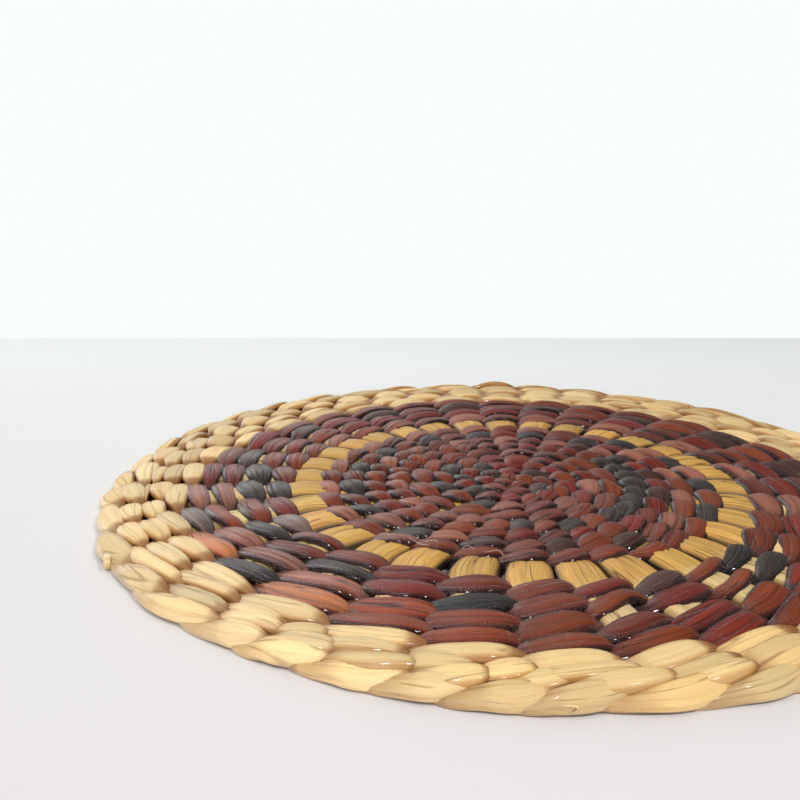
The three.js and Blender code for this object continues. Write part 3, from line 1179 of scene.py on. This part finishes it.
def stretched_noise(along_scale, across_scale, detail):
    """Noise in the fibre group with its own scale along and across the reed."""
    u = maths(fibre_group, "MULTIPLY", uv_parts.outputs[0], along_scale)
    v = maths(fibre_group, "MULTIPLY", uv_parts.outputs[1], across_scale)
    place = add_node(fibre_group, "ShaderNodeCombineXYZ", {0: u, 1: v})
    noise_inputs = {"Vector": place.outputs[0], "Scale": 1.0, "Detail": detail}
    return add_node(fibre_group, "ShaderNodeTexNoise", noise_inputs, noise_dimensions="2D").outputs[0]


fibre = stretched_noise(0.9, group_in.outputs["Fibres per cm"], 3.0)
streak = stretched_noise(0.35, 4.5, 2.0)
crease_noise = stretched_noise(0.12, group_in.outputs["Creases per cm"], 0.0)
away = maths(fibre_group, "ABSOLUTE", maths(fibre_group, "SUBTRACT", crease_noise, 0.5))
crease_line = ramp(fibre_group, away, 0.004, 0.030, 1.0, 0.0)
broken = ramp(fibre_group, stretched_noise(0.5, 1.7, 1.0), 0.40, 0.55, 0.0, 1.0)
crease_line = maths(fibre_group, "MULTIPLY", crease_line, broken)
ripple = stretched_noise(22.0, 16.0, 1.0)
group_values = {"Fibre": fibre, "Streak": streak, "Crease": crease_line, "Ripple": ripple}
for socket, value in group_values.items():
    fibre_group.links.new(value, group_out.inputs[socket])
print("The fibre group gives", [socket.name for socket in group_out.inputs if socket.name])

# %% [markdown]
# The three reed finishes share one recipe. The colour comes from the dye attribute, which also carries
# painted shade. Streaks carry it towards a second colour, fibres make it lighter and darker, and creases,
# folds and tucked places are darkened as painted shade. Bump raises the fibres and sinks the creases, and
# fine ripples where the lacquer lies thick break its shine up into small sparkles. Where it lies thin the
# reed is only satin, in streaks. The dry skin also has a faint sheen, which shows where it is seen edge on.


# %% Reed finish
SKIN_RELIEF = 0.0004
SHEEN_ROUGHNESS = 0.12
SHEEN_TINT = (0.95, 0.90, 0.92, 1)
RIPPLE_EVERYWHERE = 0.06  # share of the ripples that is left where there is no lacquer


def attribute(tree, name):
    """One of the reed's attributes, as a value."""
    return add_node(tree, "ShaderNodeAttribute", attribute_name=name).outputs["Fac"]


def reed_finish(name, recipe):
    """A material for reeds. The recipe holds its named amounts."""
    material = bpy.data.materials.new(name)
    material.use_nodes = True
    tree = material.node_tree
    tree.nodes.clear()
    dye = add_node(tree, "ShaderNodeAttribute", attribute_name="dye").outputs["Color"]
    folds, tucked, lacquer = (attribute(tree, mark) for mark in ("folds", "tucked", "lacquer"))
    fibre_inputs = {"Fibres per cm": recipe["fibres"], "Creases per cm": recipe["creases"]}
    fibre = add_node(tree, "ShaderNodeGroup", fibre_inputs, node_tree=fibre_group).outputs
    streaked = ramp(tree, fibre["Streak"], 0.42, 0.68, 0.0, recipe["streak"])
    colour = mixed(tree, streaked, dye, (*recipe["streak_colour"], 1))
    fine = ramp(tree, fibre["Fibre"], 0.3, 0.7, 1 - recipe["fine"], 1 + recipe["fine"])
    colour = add_node(tree, "ShaderNodeVectorMath", {0: colour, 1: fine}, operation="MULTIPLY").outputs[0]
    # Painted shade: creases, folds and tucked places are darkened towards the crease colour.
    crease_dark = maths(tree, "MULTIPLY", fibre["Crease"], recipe["crease_dark"])
    fold_dark = maths(tree, "MULTIPLY", maths(tree, "MAXIMUM", folds, tucked), recipe["fold_dark"])
    darkest = maths(tree, "MAXIMUM", crease_dark, fold_dark)
    colour = mixed(tree, darkest, colour, (*recipe["crease_shade_colour"], 1))
    height = maths(tree, "MULTIPLY_ADD", fibre["Crease"], -recipe["crease_depth"], fibre["Fibre"])
    everywhere = RIPPLE_EVERYWHERE * recipe["ripple"]
    rippled = maths(tree, "MULTIPLY_ADD", lacquer, recipe["ripple"], everywhere)
    height = maths(tree, "MULTIPLY_ADD", fibre["Ripple"], rippled, height)
    bump_inputs = {"Height": height, "Strength": recipe["bump"], "Distance": SKIN_RELIEF}
    bump = add_node(tree, "ShaderNodeBump", bump_inputs)
    unbroken = ramp(tree, fibre["Ripple"], 0.46, 0.56, recipe["unbroken"], 1.0)
    satin = ramp(tree, fibre["Streak"], 0.40, 0.60, recipe["satin"], 0.0)
    glossy = maths(tree, "MAXIMUM", maths(tree, "MULTIPLY", lacquer, unbroken), satin)
    shader_inputs = {
        "Base Color": colour,
        "Roughness": ramp(tree, glossy, 0.0, 1.0, recipe["dull"], recipe["shiny"]),
        "Normal": bump.outputs[0],
        "Specular IOR Level": recipe["gloss"],
        "Coat Weight": ramp(tree, glossy, 0.3, 1.0, 0.0, recipe["coat"]),
        "Coat Roughness": recipe["coat_roughness"],
        "Sheen Weight": recipe["sheen"],
        "Sheen Roughness": SHEEN_ROUGHNESS,
        "Sheen Tint": SHEEN_TINT,
    }
    shader = add_node(tree, "ShaderNodeBsdfPrincipled", shader_inputs)
    add_node(tree, "ShaderNodeOutputMaterial", {"Surface": shader.outputs[0]})
    print(name, "uses", len(tree.nodes), "nodes")
    return material


# %% [markdown]
# The amounts for each finish. Dyed reed is lacquered the most: its folds are painted nearly black as shade,
# and the lacquer stands in sharp, broken glints along its edges. Natural reed has paler painted shade in its
# creases and a softer shine. The bare spokes are the driest, with the most creases.

# %% Amounts for each finish
FINISHES = {
    # amount: dyed reed, natural reed, spoke reed
    "fibres": (30.0, 24.0, 24.0),
    "creases": (2.2, 1.4, 5.0),
    "streak": (0.20, 0.35, 0.35),
    "streak_colour": ((0.050, 0.014, 0.008), (0.71, 0.44, 0.22), (0.48, 0.26, 0.075)),
    "fine": (0.20, 0.06, 0.14),
    # How strongly creases, folds and tucked places are painted dark as shade, and the colour of that shade.
    "crease_dark": (0.85, 0.50, 0.8),
    "fold_dark": (0.90, 0.85, 0.35),
    "crease_shade_colour": ((0.012, 0.003, 0.003), (0.19, 0.066, 0.020), (0.13, 0.05, 0.018)),
    "crease_depth": (2.0, 1.2, 1.6),
    "bump": (0.8, 0.45, 0.7),
    "ripple": (2.8, 0.12, 0.3),
    "dull": (0.36, 0.52, 0.55),
    "shiny": (0.20, 0.36, 0.35),
    "gloss": (0.48, 0.35, 0.35),
    "satin": (0.4, 0.35, 0.5),
    "coat": (1.0, 0.8, 0.15),
    "coat_roughness": (0.05, 0.13, 0.25),
    "sheen": (0.27, 0.0, 0.0),
    "unbroken": (0.5, 0.9, 0.9),
}
dyed_finish, natural_finish, spoke_finish = (
    reed_finish(name, {amount: values[column] for amount, values in FINISHES.items()})
    for column, name in enumerate(("dyed_reed", "natural_reed", "spoke_reed"))
)

# %% [markdown]
# Loose fibres. A few fine hairs have come free from the reeds inside the open ring and curl over
# them. Each is a short curve with a round bevel, made into a mesh.

# %% Loose fibres
HAIR_RADIUS = 0.08 * MM
LOOSE_FIBRES = [
    # angle (degrees), distance from the field's middle, length across, curl (mm)
    (-34.0, 80.5, 13.0, 3.5),
    (-29.5, 77.5, 6.0, -4.5),
    (-19.0, 76.5, 5.0, 3.0),
    (-12.5, 78.0, 7.0, -3.5),
    (-41.0, 82.0, 8.0, 2.0),
]
hairs = []
for degrees, distance, reach, curl in LOOSE_FIBRES:
    bpy.ops.object.select_all(action="DESELECT")
    bpy.ops.curve.primitive_nurbs_path_add()
    hair = bpy.context.object
    points = hair.data.splines[0].points
    for place, point in enumerate(points):
        share = place / (len(points) - 1) - 0.5
        angle = math.radians(degrees) + reach * share / distance
        x, y = place_at((distance + curl * math.sin(7 * share)) * MM, angle)
        point.co = (x, y, CREST + (0.4 - 6 * share * share) * MM, 1)
    hair.data.bevel_depth = HAIR_RADIUS
    hair.data.bevel_resolution = 1
    hair.data.resolution_u = 6
    hair.data.use_fill_caps = True
    bpy.ops.object.convert(target="MESH")
    hairs.append(bpy.context.object)
loose_fibres = join(hairs, "loose_fibres")
hair_finish = bpy.data.materials.new("loose_fibre")
hair_finish.use_nodes = True
hair_shader = hair_finish.node_tree.nodes["Principled BSDF"]
hair_shader.inputs["Base Color"].default_value = (0.72, 0.60, 0.48, 1)
hair_shader.inputs["Roughness"].default_value = 0.4

# %% [markdown]
# Each piece now gets its finish and its place on the one rigid body, and the plain solids that the reeds
# stand for are hidden.

# %% Dress the pieces
for piece, material, slot in (
    (loose_fibres, hair_finish, "natural_reed"),
    (inner_rows, dyed_finish, "dyed_reed"),
    (middle_rows, dyed_finish, "dyed_reed"),
    (outer_rows, dyed_finish, "dyed_reed"),
    (spoke_wheel, spoke_finish, "natural_reed"),
    (inner_border, natural_finish, "natural_reed"),
    (outer_border, natural_finish, "natural_reed"),
):
    piece.data.materials.clear()
    piece.data.materials.append(material)
    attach(piece, "root")
for piece in (inner_rows, middle_rows, outer_rows, spoke_wheel):
    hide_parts("woven_field")
for piece in (inner_border, outer_border):
    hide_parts("natural_border")
print("Pieces dressed")

# %% [markdown]
# The table is a plain pale surface that ends a little behind the mat. Its colour is darker and a little
# pinker towards the front, which is painted shade. Behind it the room is white.

# %% Table
TABLE_BACK = 0.377
TABLE_REACH = 3.0
# The near tone is painted shade; the far tone is the table's own pale colour.
TABLE_NEAR, TABLE_FAR = (0.73, 0.68, 0.69, 1), (0.97, 0.99, 0.98, 1)
TABLE_TONE_FROM, TABLE_TONE_TO = -0.3, 0.27  # where the near tone ends and the far one begins
bpy.ops.object.select_all(action="DESELECT")
bpy.ops.mesh.primitive_plane_add(size=1, location=(0, (TABLE_BACK - TABLE_REACH) / 2, 0))
table = bpy.context.object
table.name = "table"
table.scale = (2 * TABLE_REACH, TABLE_BACK + TABLE_REACH, 1)
bpy.ops.object.transform_apply(location=True, rotation=True, scale=True)
table_material = bpy.data.materials.new("table_paint_and_shade")
table_material.use_nodes = True
table_tree = table_material.node_tree
table_shader = table_tree.nodes["Principled BSDF"]
table_place = add_node(table_tree, "ShaderNodeTexCoord").outputs["Object"]
table_y = add_node(table_tree, "ShaderNodeSeparateXYZ", {0: table_place}).outputs["Y"]
backness = ramp(table_tree, table_y, TABLE_TONE_FROM, TABLE_TONE_TO, 0.0, 1.0)
table_tree.links.new(mixed(table_tree, backness, TABLE_NEAR, TABLE_FAR), table_shader.inputs["Base Color"])
table_shader.inputs["Roughness"].default_value = 0.8
table_shader.inputs["Specular IOR Level"].default_value = 0.2
table.data.materials.append(table_material)
table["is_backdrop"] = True
print("Table ends at", TABLE_BACK, "m")

# %% [markdown]
# The room. The camera sees it white all over. What shines on the mat sees a bright wall at the back
# left and a dim room elsewhere, so the reeds' faces that tilt towards the wall catch the light and
# the others keep their colour. A weak, nearly even light from all round fills the shadows.

# %% Room
ROOM_WHITE = (0.955, 0.985, 0.98, 1)
TOWARD_WALL = (-0.42, 0.88, -0.3)
world = bpy.data.worlds.new("white_room")
world.use_nodes = True
bpy.context.scene.world = world
sky = world.node_tree
sky.nodes.clear()
path = add_node(sky, "ShaderNodeLightPath")
direction = add_node(sky, "ShaderNodeTexCoord").outputs["Generated"]
wall_inputs = {0: direction, 1: TOWARD_WALL}
toward_wall = add_node(sky, "ShaderNodeVectorMath", wall_inputs, operation="DOT_PRODUCT").outputs["Value"]
reflected = ramp(sky, toward_wall, 0.58, 0.92, 0.10, 1.0)
light = ramp(sky, toward_wall, -0.8, 0.8, 0.30, 0.42)
glossy = maths(sky, "MAXIMUM", path.outputs["Is Glossy Ray"], path.outputs["Is Transmission Ray"])
strength = add_node(sky, "ShaderNodeMix", {0: glossy, 2: light, 3: reflected}, data_type="FLOAT").outputs[0]
strength = maths(sky, "MAXIMUM", strength, path.outputs["Is Camera Ray"])
room = add_node(sky, "ShaderNodeBackground", {"Color": ROOM_WHITE, "Strength": strength})
add_node(sky, "ShaderNodeOutputWorld", {"Surface": room.outputs[0]})
print("The room uses", len(sky.nodes), "nodes")

# %% [markdown]
# Soft studio light. A broad window stands behind the mat and a second one at its left, a small soft
# lamp hangs over it, and a broad one low at the front lights the rim. Two very small lamps high at the
# front only make the sharp glints on the lacquer.

# %% Lamps
LAMPS = [
    # name, place (m), size (m), power (W)
    ("window_light", (-0.55, 1.2, 0.8), 1.0, 4.8),
    ("side_light", (-1.2, 0.7, 0.4), 0.9, 2.7),
    ("overhead_light", (-0.25, -0.1, 1.2), 0.4, 1.2),
    ("front_light", (-0.5, -1.2, 0.22), 0.9, 5.0),
    ("left_glint_light", (-0.2, -0.9, 1.0), 0.12, 5.4),
    ("right_glint_light", (0.55, -0.75, 1.0), 0.12, 4.8),
]


def area_lamp(name, place, size, watts):
    """A square area lamp at a place, turned to the middle of the mat."""
    lamp_data = bpy.data.lights.new(name, "AREA")
    lamp_data.size = size
    lamp_data.energy = watts
    lamp = bpy.data.objects.new(name, lamp_data)
    lamp.location = place
    x, y, z = place
    yaw = math.atan2(-y, -x) - math.pi / 2
    tilt = math.atan2(math.hypot(x, y), z)
    lamp.rotation_euler = (tilt, 0, yaw)
    bpy.context.scene.collection.objects.link(lamp)
    print(name, "of", watts, "W")


for lamp_row in LAMPS:
    area_lamp(*lamp_row)

# %% [markdown]
# The mat is one woven sheet that lies on the table.

# %% [markdown]
# Last, the sizes of the plain model and the dressed one are measured and printed.

# %% Sizes
dressed_low, dressed_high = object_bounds()
sizes = {
    "cad": [list(map(float, cad_low)), list(map(float, cad_high))],
    "dressed": [list(map(float, dressed_low)), list(map(float, dressed_high))],
}
print("CAD box", sizes["cad"], "dressed box", sizes["dressed"])
